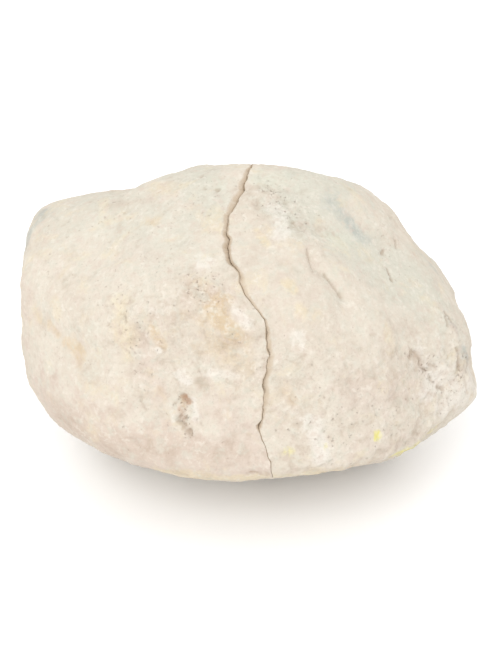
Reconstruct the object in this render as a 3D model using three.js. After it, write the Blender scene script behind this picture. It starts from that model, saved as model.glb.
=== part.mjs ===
// A whole geode, split in two, with its halves closed together again along the break.
// Units are millimetres and degrees. +Z is up, the front faces -Y, and the origin is on the surface that
// the stone rests on, under the middle of its outline.
import * as THREE from "three";
import { mergeVertices } from "three/addons/utils/BufferGeometryUtils.js";

// The stone's outside is a distance from one middle point, for every direction out of it. A direction is
// a bearing, 0 at the front and 90 at the right-hand end, and a tilt, 90 straight up.
const middle = new THREE.Vector3(0.12, 1.8, 36);

// Broad worn flats. Each is a plane at its distance from the middle, and roundness sets how tightly the
// stone turns from one to the next.
const roundness = 16;
const flats = [
  { name: "top left", bearing: -155, tilt: 52, distance: 39.3 },
  { name: "left end, upper", bearing: -98, tilt: 11, distance: 57.9 },
  { name: "left end", bearing: -90, tilt: -3, distance: 57.6 },
  { name: "left end underside", bearing: -74, tilt: -21, distance: 55.5 },
  { name: "front underside, left", bearing: -42, tilt: -47, distance: 44.6 },
  { name: "front underside, middle left", bearing: -14, tilt: -54, distance: 38.9 },
  { name: "front underside, middle right", bearing: 12, tilt: -54, distance: 37.4 },
  { name: "front underside, right", bearing: 54, tilt: -41, distance: 48.4 },
  { name: "right tip", bearing: 89, tilt: 2, distance: 56.2 },
  { name: "right end", bearing: 100, tilt: 15, distance: 51.6 },
  { name: "right back slope", bearing: 116, tilt: 33, distance: 44 },
  { name: "top right", bearing: 159, tilt: 53, distance: 39.4 },
  { name: "top back", bearing: -178, tilt: 55, distance: 39.4 },
  { name: "upper left plateau", bearing: -60, tilt: 60, distance: 43 },
  { name: "front left", bearing: -50, tilt: 10, distance: 51.5 },
  { name: "front", bearing: -8, tilt: 18, distance: 43 },
  { name: "front right", bearing: 40, tilt: 16, distance: 48 },
  { name: "right slope", bearing: 64, tilt: 50, distance: 41.5 },
  { name: "top", bearing: 5, tilt: 75, distance: 40 },
  { name: "back", bearing: 180, tilt: 5, distance: 44 },
  { name: "back left", bearing: -132, tilt: 8, distance: 53.5 },
  { name: "back right", bearing: 140, tilt: 0, distance: 52 },
  { name: "back underside", bearing: 175, tilt: -45, distance: 42 },
  { name: "back underside, left", bearing: -120, tilt: -40, distance: 47 },
  { name: "back underside, right", bearing: 115, tilt: -38, distance: 47 },
  { name: "base", bearing: 0, tilt: -90, distance: 38 },
];

// Lumps and ridges stand out and hollows and grooves go in, round a point or along an arc between two
// directions. Width is in degrees, and height in millimetres.
const forms = [
  { name: "left shoulder", from: [-108, 25], to: [-108, 25], width: 10, height: 2.4 },
  { name: "right lower corner", from: [77, -17], to: [77, -17], width: 9, height: 2.4 },
  { name: "top right corner", from: [122, 41], to: [122, 41], width: 8, height: 1 },
  { name: "dent in the right back slope", from: [110, 27], to: [110, 27], width: 5, height: -0.7 },
  { name: "hollow of the blue-grey stain", from: [76, 50], to: [76, 50], width: 8, height: -1 },
  { name: "top crest", from: [-150, 53], to: [-150, 53], width: 7, height: 0.9 },
  { name: "left cheek", from: [-60, 0], to: [-60, 0], width: 11, height: 0.4 },
  { name: "lower right bulge", from: [36, -4], to: [36, -4], width: 12, height: 1 },
  { name: "notch behind the plateau", from: [-126, 40], to: [-108, 44], width: 4, height: -1.7 },
  { name: "flaked patch", from: [-26, 34], to: [-6, 26], width: 12, height: 1.3 },
  { name: "edge of the flaked patch", from: [-39, 19], to: [-23, 0], width: 3, height: -0.9 },
  { name: "crystal pocket", from: [-20, 10], to: [-15.5, 1.5], width: 3.4, height: -1.6 },
  { name: "ochre trough", from: [-70, 15], to: [-48, 14], width: 5, height: -1.2 },
  { name: "edge of the plateau", from: [-62, 30], to: [-34, 40], width: 6, height: 0.8 },
  { name: "crest of the right slope", from: [30, 58], to: [46, 27], width: 7, height: 1.3 },
  { name: "diagonal groove", from: [31, 51], to: [36.5, 37], width: 2.6, height: -1 },
  { name: "row of hollows on the right", from: [51, 14], to: [62, -2], width: 3.5, height: -1 },
  { name: "rib of the right end", from: [71, 13], to: [70, -3], width: 3.2, height: 1 },
  { name: "step behind the plateau", from: [-116, 51], to: [-108, 49], width: 4, height: -1 },
  { name: "back edge of the plateau", from: [-117, 36], to: [-115, 32], width: 4, height: 0.4 },
  { name: "hollow of the left end", from: [-90, 13], to: [-85, 5], width: 5, height: -0.7 },
  { name: "lower bump of the left end", from: [-77, -8], to: [-77, -8], width: 4, height: 1 },
  { name: "hollow of the left underside", from: [-51, -18], to: [-51, -18], width: 4, height: -0.6 },
  { name: "lower edge of the front", from: [-18, -18], to: [-6, -20], width: 6, height: 0.7 },
  { name: "lower edge right of the break", from: [13, -16], to: [13, -16], width: 3.5, height: -0.6 },
  { name: "underside of the lower right bulge", from: [31, -15], to: [38, -17], width: 4, height: -0.9 },
  { name: "underside of the right corner", from: [58, -18], to: [71, -17], width: 5, height: -1.5 },
  { name: "hollow under the right tip", from: [78, -4], to: [73, -2], width: 4, height: -2 },
  { name: "bump of the right tip", from: [85, 4], to: [85, 4], width: 3, height: 0.6 },
  { name: "bump of the right end", from: [101, 4], to: [109, 9], width: 3.5, height: 0.6 },
  { name: "hollow of the right end", from: [112, 14], to: [112, 14], width: 4, height: -0.6 },
  { name: "bump of the right back slope", from: [104, 33], to: [106, 37], width: 3.5, height: 0.4 },
  { name: "step of the top right", from: [120, 61], to: [120, 61], width: 4, height: -1 },
  { name: "step of the top left", from: [-132, 55], to: [-132, 55], width: 3.5, height: -0.6 },
  { name: "bump of the left shoulder", from: [-105, 25], to: [-105, 25], width: 4, height: 0.5 },
];

// Uneven weathering, as value noise of each size.
const waves = [
  { size: 18, height: 0.8, seed: 1 },
  { size: 9, height: 0.45, seed: 2 },
];

// The break runs round the stone near the middle. At each turn, 0 at the front, 90 on top and 180 at the
// back, it is offset sideways, and its edges are chipped back on the left and the right piece.
const breakLine = [
  { turn: -90, offset: 5, left: 0.2, right: 0.2 },
  { turn: -45, offset: 6.2, left: 0.1, right: 0.1 },
  { turn: -20, offset: 6, left: 0.1, right: 0.1 },
  { turn: -8, offset: 5, left: 0.1, right: 0.1 },
  { turn: -3, offset: 3.8, left: 0.1, right: 0.1 },
  { turn: 3, offset: 2.5, left: 0.5, right: 0.1 },
  { turn: 10, offset: 3.4, left: 0.1, right: 0.4 },
  { turn: 16, offset: 3.6, left: 0.1, right: 0.6 },
  { turn: 20, offset: 4.2, left: 0.1, right: 0.7 },
  { turn: 25, offset: 4.9, left: 0.1, right: 0.8 },
  { turn: 32, offset: 4.2, left: 0.1, right: 0.6 },
  { turn: 37, offset: 2.5, left: 0.1, right: 0.2 },
  { turn: 43, offset: -0.8, left: 0.1, right: 0.3 },
  { turn: 46, offset: -1.6, left: 0.2, right: 0.9 },
  { turn: 50, offset: -2.6, left: 0.1, right: 0.3 },
  { turn: 53, offset: -4, left: 0.4, right: 0.3 },
  { turn: 57, offset: -4.8, left: 0.5, right: 0.4 },
  { turn: 63, offset: -5, left: 0.5, right: 0.4 },
  { turn: 68, offset: -5.5, left: 0.6, right: 0.3 },
  { turn: 73, offset: -5, left: 0.9, right: 0.2 },
  { turn: 79, offset: -3.2, left: 1.2, right: 0.2 },
  { turn: 84, offset: -1.4, left: 1.3, right: 0.2 },
  { turn: 90, offset: -0.6, left: 1.1, right: 0.2 },
  { turn: 99, offset: 0.7, left: 0.5, right: 0.3 },
  { turn: 125, offset: -0.8, left: 0.4, right: 0.4 },
  { turn: 150, offset: -2.4, left: 0.5, right: 0.4 },
  { turn: 180, offset: 2.2, left: 0.4, right: 0.6 },
  { turn: 215, offset: -1.5, left: 0.4, right: 0.4 },
  { turn: 245, offset: 3.2, left: 0.3, right: 0.3 },
  { turn: 270, offset: 5, left: 0.2, right: 0.2 },
];
const halfGap = 0.16; // from the middle of the break to each piece, away from its chipped edges
const chipDepth = 2.5; // how far in from the outside a chipped edge reaches
const breakWaves = { size: 15, height: 1.1, seed: 7 };
const offsetHold = 1.5; // the power by which the rim's sideways offset dies away towards the inside
const waveHold = 4; // the power by which the break's own waves die away towards the rim

// How finely each half is faceted. The meridians stand closest at one turn, where the stone has most form.
const stepsAround = 72;
const outsideRings = 26;
const breakRings = 8;
const rimBunching = 1.4; // above 1, the break's rings stand closer together near the rim
const closestTurn = 35;
const crowding = 0.35; // by how much of the even step the meridians close up there

const rindColour = 0xe8ddcb;

// The rim is looked for between these angles from a half's end, by this many halvings.
const rimSearch = { from: 45, to: 135, halvings: 30 };

// Large factors that scramble a lattice point into a number that looks random.
const scramble = { x: 127.1, y: 311.7, z: 74.7, seed: 19.19, spread: 43758.5453 };

const weldDistance = 1e-4; // vertices closer than this are one

const radians = THREE.MathUtils.degToRad;
const lerp = THREE.MathUtils.lerp;

function directionOf(bearing, tilt) {
  const flat = Math.cos(radians(tilt));
  return new THREE.Vector3(
    Math.sin(radians(bearing)) * flat,
    -Math.cos(radians(bearing)) * flat,
    Math.sin(radians(tilt)),
  );
}

const planes = flats.map((flat) => ({
  normal: directionOf(flat.bearing, flat.tilt),
  distance: flat.distance,
}));
const arcs = forms.map((form) => ({
  line: new THREE.Line3(directionOf(...form.from), directionOf(...form.to)),
  width: radians(form.width),
  height: form.height,
}));

// A fixed random number from 0 to 1 for each point of a lattice.
function latticeValue(i, j, k, seed) {
  const mixed = i * scramble.x + j * scramble.y + k * scramble.z + seed * scramble.seed;
  const value = Math.sin(mixed) * scramble.spread;
  return value - Math.floor(value);
}

// Smooth value noise from -1 to 1: lattice numbers blended by the smoothstep of the place between them.
function noiseAt(point, size, seed) {
  const cell = point.clone().divideScalar(size).floor();
  const place = point.clone().divideScalar(size).sub(cell);
  const [x, y, z] = place.toArray().map((t) => t * t * (3 - 2 * t));
  const corner = (i, j, k) => latticeValue(cell.x + i, cell.y + j, cell.z + k, seed);
  const along = (j, k) => lerp(corner(0, j, k), corner(1, j, k), x);
  return 2 * lerp(lerp(along(0, 0), along(1, 0), y), lerp(along(0, 1), along(1, 1), y), z) - 1;
}

// How far the stone's outside is from its middle in a direction.
function outsideRadius(direction) {
  let sum = 0;
  for (const plane of planes)
    sum += Math.max(0, direction.dot(plane.normal) / plane.distance) ** roundness;
  let radius = sum ** (-1 / roundness);
  const nearest = new THREE.Vector3();
  const surface = direction.clone().multiplyScalar(radius);
  for (const arc of arcs) {
    const isSpot = arc.line.distanceSq() === 0;
    if (isSpot) nearest.copy(arc.line.start);
    else arc.line.closestPointToPoint(direction, true, nearest);
    radius += arc.height * Math.exp(-((direction.angleTo(nearest) / arc.width) ** 2));
  }
  for (const wave of waves) radius += wave.height * noiseAt(surface, wave.size, wave.seed);
  const toFloor = direction.z < 0 ? middle.z / -direction.z : Infinity;
  return Math.min(radius, toFloor);
}

// The break line's values at a turn, in straight steps from point to point.
function breakAt(turn) {
  const first = breakLine[0].turn;
  const wrapped = first + THREE.MathUtils.euclideanModulo(turn - first, 360);
  const after = breakLine.findIndex((point) => point.turn > wrapped);
  const [a, b] = [breakLine[after - 1], breakLine[after]];
  const share = (wrapped - a.turn) / (b.turn - a.turn);
  return {
    offset: lerp(a.offset, b.offset, share),
    left: lerp(a.left, b.left, share),
    right: lerp(a.right, b.right, share),
  };
}

// How far sideways the middle of the break is, at a turn and a distance from the line through the ends.
function breakOffset(turn, reach, rimReach) {
  const share = Math.min(1, reach / rimReach);
  const place = new THREE.Vector3(0, -Math.cos(radians(turn)), Math.sin(radians(turn)));
  const wave = noiseAt(place.multiplyScalar(reach), breakWaves.size, breakWaves.seed);
  const rimPart = breakAt(turn).offset * share ** offsetHold;
  return rimPart + breakWaves.height * wave * (1 - share ** waveHold);
}

// The direction at an angle from the end of one half, side -1 on the left and 1 on the right.
function outsideDirection(side, angle, turn) {
  return new THREE.Vector3(
    side * Math.cos(angle),
    -Math.sin(angle) * Math.cos(radians(turn)),
    Math.sin(angle) * Math.sin(radians(turn)),
  );
}

// The angle from the end at which the outside meets a break edge, found by halving.
function rimAngle(side, turn, edge) {
  let [low, high] = [radians(rimSearch.from), radians(rimSearch.to)];
  for (let i = 0; i < rimSearch.halvings; i += 1) {
    const angle = (low + high) / 2;
    const direction = outsideDirection(side, angle, turn);
    const across = side * direction.x * outsideRadius(direction);
    if (across > edge) low = angle;
    else high = angle;
  }
  return (low + high) / 2;
}

// An even turn moved towards the closest turn: the turn less crowding times the sine of the way past it.
function crowdedTurn(turn) {
  return turn - THREE.MathUtils.radToDeg(crowding * Math.sin(radians(turn - closestTurn)));
}

// One meridian of a half: from the middle of its end, over the outside to the rim, then down the break
// to the line through the ends.
function meridian(side, turn) {
  const line = breakAt(turn);
  const chip = side < 0 ? line.left : line.right;
  const middleAngle = rimAngle(1, turn, line.offset);
  const middleDirection = outsideDirection(1, middleAngle, turn);
  const rimReach = outsideRadius(middleDirection) * Math.sin(middleAngle);
  const rim = rimAngle(side, turn, side * line.offset + halfGap + chip);
  const points = [];
  for (let ring = 0; ring <= outsideRings; ring += 1) {
    const direction = outsideDirection(side, (rim * ring) / outsideRings, turn);
    points.push(direction.clone().multiplyScalar(outsideRadius(direction)));
  }
  for (let ring = 1; ring <= breakRings; ring += 1) {
    const share = ring / breakRings;
    const reach = rimReach * (1 - share ** rimBunching);
    const edge = halfGap + chip * Math.exp(-(((rimReach - reach) / chipDepth) ** 2));
    const around = outsideDirection(side, Math.PI / 2, turn).multiplyScalar(reach);
    around.x = breakOffset(turn, reach, rimReach) + side * edge;
    points.push(around);
  }
  return points;
}

// A half is a sphere of rings, with every vertex moved to its place on the outside or on the break.
function halfGeometry(side) {
  const rings = outsideRings + breakRings;
  const geometry = new THREE.SphereGeometry(1, stepsAround, rings);
  const position = geometry.getAttribute("position");
  const meridians = [];
  for (let step = 0; step < stepsAround; step += 1)
    meridians.push(meridian(side, crowdedTurn((-side * 360 * step) / stepsAround)));
  for (let i = 0; i < position.count; i += 1) {
    const ring = Math.floor(i / (stepsAround + 1));
    const step = i % (stepsAround + 1);
    const isPole = ring === 0 || ring === rings;
    const place = meridians[isPole ? 0 : step % stepsAround][ring];
    position.setXYZ(i, place.x + middle.x, place.y + middle.y, place.z + middle.z);
  }
  geometry.deleteAttribute("normal");
  geometry.deleteAttribute("uv");
  const closed = mergeVertices(geometry, weldDistance);
  closed.computeVertexNormals();
  return closed;
}

const rind = new THREE.MeshStandardMaterial({ color: rindColour, roughness: 0.9, metalness: 0 });

function makeHalf(name, side) {
  const half = new THREE.Mesh(halfGeometry(side), rind.clone());
  half.name = name;
  return half;
}

const geode = new THREE.Group();
geode.add(makeHalf("left_half", -1), makeHalf("right_half", 1));

export default geode;
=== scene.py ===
# A whole geode, split in two, with its halves closed together again: the looks of both halves, a pale
# studio floor, soft light and the camera. The tables are in millimetres and degrees, the meshes in metres.
import math

import bpy
import numpy as np
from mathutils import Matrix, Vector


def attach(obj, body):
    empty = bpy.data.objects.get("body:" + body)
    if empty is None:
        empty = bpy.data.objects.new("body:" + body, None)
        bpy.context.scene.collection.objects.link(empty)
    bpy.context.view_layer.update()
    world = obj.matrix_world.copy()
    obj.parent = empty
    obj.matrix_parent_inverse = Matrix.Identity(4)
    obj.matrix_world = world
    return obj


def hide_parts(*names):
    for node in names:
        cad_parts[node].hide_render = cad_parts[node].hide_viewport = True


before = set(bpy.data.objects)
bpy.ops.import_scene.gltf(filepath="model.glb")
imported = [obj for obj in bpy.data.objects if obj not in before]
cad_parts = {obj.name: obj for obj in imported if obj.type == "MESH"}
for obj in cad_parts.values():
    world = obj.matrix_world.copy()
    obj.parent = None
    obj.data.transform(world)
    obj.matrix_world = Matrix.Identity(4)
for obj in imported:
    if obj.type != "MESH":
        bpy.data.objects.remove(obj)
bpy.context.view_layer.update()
mm = 0.001

# The outside is a distance from one middle point, for every direction out of it. A direction is a bearing,
# 0 at the front and 90 at the right-hand end, and a tilt, 90 straight up.
stone = {
    "middle": (0.12, 1.8, 36.0),
    "roundness": 16,  # how tightly the stone turns from one flat to the next
    "flats": {  # bearing, tilt, distance
        "top left": (-155, 52, 39.3),
        "left end, upper": (-98, 11, 57.9),
        "left end": (-90, -3, 57.6),
        "left end underside": (-74, -21, 55.5),
        "front underside, left": (-42, -47, 44.6),
        "front underside, middle left": (-14, -54, 38.9),
        "front underside, middle right": (12, -54, 37.4),
        "front underside, right": (54, -41, 48.4),
        "right tip": (89, 2, 56.2),
        "right end": (100, 15, 51.6),
        "right back slope": (116, 33, 44),
        "top right": (159, 53, 39.4),
        "top back": (-178, 55, 39.4),
        "upper left plateau": (-60, 60, 43),
        "front left": (-50, 10, 51.5),
        "front": (-8, 18, 43),
        "front right": (40, 16, 48),
        "right slope": (64, 50, 41.5),
        "top": (5, 75, 40),
        "back": (180, 5, 44),
        "back left": (-132, 8, 53.5),
        "back right": (140, 0, 52),
        "back underside": (175, -45, 42),
        "back underside, left": (-120, -40, 47),
        "back underside, right": (115, -38, 47),
        "base": (0, -90, 38),
    },
    "forms": {  # from, to, width in degrees, height
        "left shoulder": ((-108, 25), (-108, 25), 10, 2.4),
        "right lower corner": ((77, -17), (77, -17), 9, 2.4),
        "top right corner": ((122, 41), (122, 41), 8, 1),
        "dent in the right back slope": ((110, 27), (110, 27), 5, -0.7),
        "hollow of the blue-grey stain": ((76, 50), (76, 50), 8, -1),
        "top crest": ((-150, 53), (-150, 53), 7, 0.9),
        "left cheek": ((-60, 0), (-60, 0), 11, 0.4),
        "lower right bulge": ((36, -4), (36, -4), 12, 1),
        "notch behind the plateau": ((-126, 40), (-108, 44), 4, -1.7),
        "flaked patch": ((-26, 34), (-6, 26), 12, 1.3),
        "edge of the flaked patch": ((-39, 19), (-23, 0), 3, -0.9),
        "crystal pocket": ((-20, 10), (-15.5, 1.5), 3.4, -1.6),
        "ochre trough": ((-70, 15), (-48, 14), 5, -1.2),
        "edge of the plateau": ((-62, 30), (-34, 40), 6, 0.8),
        "crest of the right slope": ((30, 58), (46, 27), 7, 1.3),
        "diagonal groove": ((31, 51), (36.5, 37), 2.6, -1),
        "row of hollows on the right": ((51, 14), (62, -2), 3.5, -1),
        "rib of the right end": ((71, 13), (70, -3), 3.2, 1),
        "step behind the plateau": ((-116, 51), (-108, 49), 4, -1),
        "back edge of the plateau": ((-117, 36), (-115, 32), 4, 0.4),
        "hollow of the left end": ((-90, 13), (-85, 5), 5, -0.7),
        "lower bump of the left end": ((-77, -8), (-77, -8), 4, 1),
        "hollow of the left underside": ((-51, -18), (-51, -18), 4, -0.6),
        "lower edge of the front": ((-18, -18), (-6, -20), 6, 0.7),
        "lower edge right of the break": ((13, -16), (13, -16), 3.5, -0.6),
        "underside of the lower right bulge": ((31, -15), (38, -17), 4, -0.9),
        "underside of the right corner": ((58, -18), (71, -17), 5, -1.5),
        "hollow under the right tip": ((78, -4), (73, -2), 4, -2),
        "bump of the right tip": ((85, 4), (85, 4), 3, 0.6),
        "bump of the right end": ((101, 4), (109, 9), 3.5, 0.6),
        "hollow of the right end": ((112, 14), (112, 14), 4, -0.6),
        "bump of the right back slope": ((104, 33), (106, 37), 3.5, 0.4),
        "step of the top right": ((120, 61), (120, 61), 4, -1),
        "step of the top left": ((-132, 55), (-132, 55), 3.5, -0.6),
        "bump of the left shoulder": ((-105, 25), (-105, 25), 4, 0.5),
    },
    "waves": ((18, 0.8, 1), (9, 0.45, 2)),  # size, height, seed
}


# A unit vector for a bearing and a tilt: sine and cosine of the bearing, flattened by the tilt's cosine.
def directionOf(bearing, tilt):
    b, t = math.radians(bearing), math.radians(tilt)
    return np.array((math.sin(b) * math.cos(t), -math.cos(b) * math.cos(t), math.sin(t)))


middle = np.array(stone["middle"])
flatNormals = np.array([directionOf(bearing, tilt) for bearing, tilt, _ in stone["flats"].values()])
flatDistances = np.array([distance for _, _, distance in stone["flats"].values()])


# The angle in degrees from each direction to the nearest place on the arc between two directions.
def arcGap(directions, start, end):
    a = directionOf(*start)
    chord = directionOf(*end) - a
    share = np.clip((directions - a) @ chord / max(1e-12, chord @ chord), 0, 1)
    nearest = a + share[..., None] * chord
    nearest /= np.linalg.norm(nearest, axis=-1, keepdims=True)
    return np.degrees(np.arccos(np.clip((directions * nearest).sum(-1), -1, 1)))


# A bell of height 1 over the arc: e to the minus square of the gap over the width.
def bell(directions, start, end, width):
    return np.exp(-((arcGap(directions, start, end) / width) ** 2))


# A fixed random number from 0 to 1 for each point of a lattice: the fraction of a large sine.
def latticeValue(cell, seed):
    mixed = cell[..., 0] * 127.1 + cell[..., 1] * 311.7 + cell[..., 2] * 74.7 + seed * 19.19
    value = np.sin(mixed) * 43758.5453
    return value - np.floor(value)


# Smooth value noise from -1 to 1: lattice numbers blended by the smoothstep of the place between them.
def valueNoise(points, size, seed):
    place = points / size
    cell = np.floor(place)
    part = place - cell
    part = part * part * (3 - 2 * part)
    total = 0
    for corner in np.ndindex(2, 2, 2):
        weight = np.prod(np.where(corner, part, 1 - part), axis=-1)
        total = total + weight * latticeValue(cell + np.array(corner), seed)
    return 2 * total - 1


# Gradient noise of about -1 to 1: each lattice point has a random slope, and the slopes' heights at a place
# are blended by a quintic of the place between them.
def slopeNoise(points, size, seed):
    place = points / size
    cell = np.floor(place)
    part = place - cell
    fade = part**3 * (part * (6 * part - 15) + 10)
    total = 0
    for corner in np.ndindex(2, 2, 2):
        own = cell + np.array(corner)
        slope = np.stack([latticeValue(own, seed + 0.31 * axis) for axis in (1, 2, 3)], -1) * 2 - 1
        weight = np.prod(np.where(corner, fade, 1 - fade), axis=-1)
        total = total + weight * (slope * (part - np.array(corner))).sum(-1)
    return 1.8 * total


# Each octave of noise is sampled in space turned once more, so that no two lattices lie alike.
octaveTurn = np.array(((0.36, 0.48, -0.8), (-0.8, 0.6, 0.0), (0.48, 0.64, 0.6)))


# Gradient noise, plus noise of half the size at a share of the height, and so on.
def fractalNoise(points, size, seed, octaves=3, gain=0.5):
    total = 0
    for i in range(octaves):
        points = points @ octaveTurn
        total = total + gain**i * slopeNoise(points, size / 2**i, seed + 0.37 * i)
    return total


# One random spot in each cell of a lattice: the distance to the nearest spot, in cells, and its number.
def nearestSpot(points, size, seed):
    place = points @ octaveTurn / size
    home = np.floor(place)
    best = np.full(points.shape[:-1], 9.0)
    number = np.zeros(points.shape[:-1])
    for step in np.ndindex(3, 3, 3):
        cell = home + np.array(step) - 1
        spot = cell + np.stack([latticeValue(cell, seed + 0.1 * axis) for axis in (1, 2, 3)], -1)
        gap = np.linalg.norm(place - spot, axis=-1)
        closer = gap < best
        best = np.where(closer, gap, best)
        number = np.where(closer, latticeValue(cell, seed + 0.5), number)
    return best, number


# From 0 to 1 between two limits, with a smooth start and end.
def smoothStep(low, high, values):
    t = np.clip((values - low) / (high - low), 0, 1)
    return t * t * (3 - 2 * t)


# The place at a share of the way from the first limit to the second: low plus share times their difference.
def between(limits, share):
    low, high = limits
    return low + (high - low) * share


# How far the plain form of the outside is from the middle: the smooth largest of direction over distance
# for all the flats, one over that, plus each form's bell and each wave's noise.
def formRadius(directions):
    reach = np.maximum(0, directions @ flatNormals.T / flatDistances)
    radius = (reach ** stone["roundness"]).sum(-1) ** (-1 / stone["roundness"])
    surface = directions * radius[..., None]
    for start, end, width, height in stone["forms"].values():
        radius = radius + height * bell(directions, start, end, width)
    for size, height, seed in stone["waves"]:
        radius = radius + height * valueNoise(surface, size, seed)
    return cutAtFloor(directions, radius)


# The radius, or the distance to the floor where that is less.
def cutAtFloor(directions, radius):
    down = np.maximum(1e-9, -directions[..., 2])
    return np.minimum(radius, middle[2] / down)


# Relief of the rind, in millimetres. A gain is the share of its height that each finer octave keeps.
relief = {
    "warp": (4.0, 0.9, 91),  # size, reach and seed of the bending of every pattern
    "lumps": (4.6, 0.24, 4, 0.66, 41),  # size, height, octaves, gain, seed
    "crumbs": ((2.2, 0.13, 45), (1.35, 0.1, 46)),  # size, height, seed
    "crumbReach": 0.45,  # from a crumb's middle to its foot, in cells of its lattice
    "crumbHeights": (0.4, 1.6),  # the lowest and the highest crumb, as shares of the height
    "flakes": (6.5, 0.16, 4, 0.55, 44),  # thin layers that flaked off: size, height, octaves, gain, seed
    "flakeLevels": (-0.3, -0.1, 0.12, 0.34),
    "flakeEdge": 0.05,  # how soft the edge of a layer is
    "streaks": (9, 1.2, 0.07, 3, 0.6, 47),  # length, width, height, octaves, gain, seed
    "streaksEnd": 1.1,  # the roughness from which no streaks are left
    "pits": (  # cell, share, radius in cells, depth, seed
        (1.4, 0.8, 0.24, 0.26, 48),
        (4.2, 0.35, 0.12, 0.4, 49),
    ),
    "pitSizes": (0.6, 1.4),  # the smallest and the largest pit, as shares of the radius
    "pitBend": (0.9, 0.4),  # size and strength of the noise that bends the pits out of round
    "markBend": (1.2, 0.9, 71),  # size, strength and seed of the noise that bends the marks
    "markWidths": (0.3, 2),  # the least and the most that it makes of a mark's width
    "plain": 0.5,  # roughness where no zone is named
    "plainWeight": 0.25,  # how strongly that counts beside the zones
    "plainPits": 0.012,  # share of the cells that hold a pit where no zone is named
}

# Zones of their own roughness: from, to, width in degrees, roughness.
roughZones = {
    "plateau": ((-100, 42), (-40, 55), 20, 0.35),
    "left cheek": ((-68, 5), (-45, 8), 11, 0.4),
    "flaked patch": ((-26, 33), (-6, 24), 15, 1.3),
    "below the flaked patch": ((-12, 6), (0, 8), 9, 0.5),
    "lower left": ((-45, -8), (-26, -6), 10, 0.7),
    "right slope": ((60, 55), (72, 22), 17, 0.25),
    "beside the break, top right": ((35, 73), (42, 62), 7, 1.4),
    "smooth face right of the break": ((12, 55), (12, 38), 9, 0.3),
    "lower right": ((12, 8), (52, -10), 14, 1.0),
    "right end": ((55, 6), (72, 4), 9, 1.1),
}

# Zones of small dark pits: from, to, width in degrees, share of the cells that hold one.
pittedZones = {
    "hollows on the right, upper": ((53, 12), (58, 7), 2.2, 0.3),
    "hollows on the right, lower": ((57, 5), (62, -4), 3.6, 0.3),
    "rim of the right end": ((72, 16), (67, -2), 2.0, 0.4),
    "beside the break, top": ((55.6, 80.1), (39.8, 67.9), 2.6, 0.5),
    "crystal pocket": ((-20.6, 8), (-18, 0), 2.2, 0.8),
    "top of the flaked patch": ((-20, 46), (-16, 44), 4.0, 0.5),
    "edge of the plateau": ((-50, 27), (-38, 30), 5, 0.14),
    "plateau, streaks": ((-100, 46), (-85, 51), 7, 0.16),
    "plateau": ((-80, 42), (-55, 48), 18, 0.08),
    "left of the flaked patch": ((-36, 24), (-31, 8), 4.0, 0.12),
    "lower right": ((25, 2), (50, -10), 10, 0.1),
    "top": ((-60, 74), (60, 82), 12, 0.22),
    "right slope, back": ((82, 42), (74, 33), 6, 0.2),
}

# The direction in which streaks run, for each side: level on the left, and down to the right on the right.
streakRuns = {-1: (1, 0.15, 0.1), 1: (0.66, -0.43, -0.61)}


# The roughness: the mean of the plain value and the zones' values, each zone's as strong as its bell.
def roughnessAt(directions):
    weight = np.full(directions.shape[:-1], relief["plainWeight"])
    total = weight * relief["plain"]
    for start, end, width, value in roughZones.values():
        share = bell(directions, start, end, width)
        weight = weight + share
        total = total + share * value
    return total / weight


# The share of the cells that hold a pit: the plain share, plus each zone's share times its bell.
def pittedAt(directions):
    pitted = relief["plainPits"]
    for start, end, width, value in pittedZones.values():
        pitted = pitted + value * bell(directions, start, end, width)
    return pitted


# The bumps of the rind in millimetres: lumps, crumbs and thin flakes as strong as the zone is rough, and
# streaks where it is smooth. The lumps and crumbs are given on their own as well.
def bumpsAt(half, points, rough):
    size, tall, octaves, gain, seed = relief["lumps"]
    detail = tall * fractalNoise(points, size, seed, octaves, gain)
    for size, tall, seed in relief["crumbs"]:
        gap, number = nearestSpot(points, size, seed)
        detail = detail + tall * (relief["crumbReach"] - gap) * between(relief["crumbHeights"], number)
    detail = detail * rough
    size, tall, octaves, gain, seed = relief["flakes"]
    layers = fractalNoise(points, size, seed, octaves, gain)
    edge = relief["flakeEdge"]
    height = detail
    for level in relief["flakeLevels"]:
        height = height + rough * tall * (smoothStep(level - edge, level + edge, layers) - 0.5)
    length, width, tall, octaves, gain, seed = relief["streaks"]
    run = np.array(streakRuns[half["side"]], float)
    run /= np.linalg.norm(run)
    along = (points @ run)[..., None] * run
    streaks = fractalNoise(along / length + (points - along) / width, 1, seed, octaves, gain)
    return height + (relief["streaksEnd"] - rough).clip(0, 1) * tall * streaks, detail


# The depth of the pits and of the half's own marks in millimetres: a bell round each spot of a lattice
# whose number is under the zone's share, and one along each mark's arc, with widths bent by noise.
def holesAt(half, directions, surface, points, pitted):
    holes = np.zeros(directions.shape[:-1])
    size, strength = relief["pitBend"]
    for cell, part, radius, depth, seed in relief["pits"]:
        gap, number = nearestSpot(points, cell, seed)
        share = part * pitted
        own = radius * between(relief["pitSizes"], (number / share).clip(0, 1))
        own = own * (1 + strength * slopeNoise(surface, size, seed))
        holes += np.where(number < share, depth * np.exp(-((gap / own) ** 2)), 0)
    size, strength, seed = relief["markBend"]
    wobble = (1 + strength * slopeNoise(points, size, seed)).clip(*relief["markWidths"])
    for start, end, width, depth in half["marks"].values():
        holes += depth * bell(directions, start, end, width * wobble)
    return holes


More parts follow.
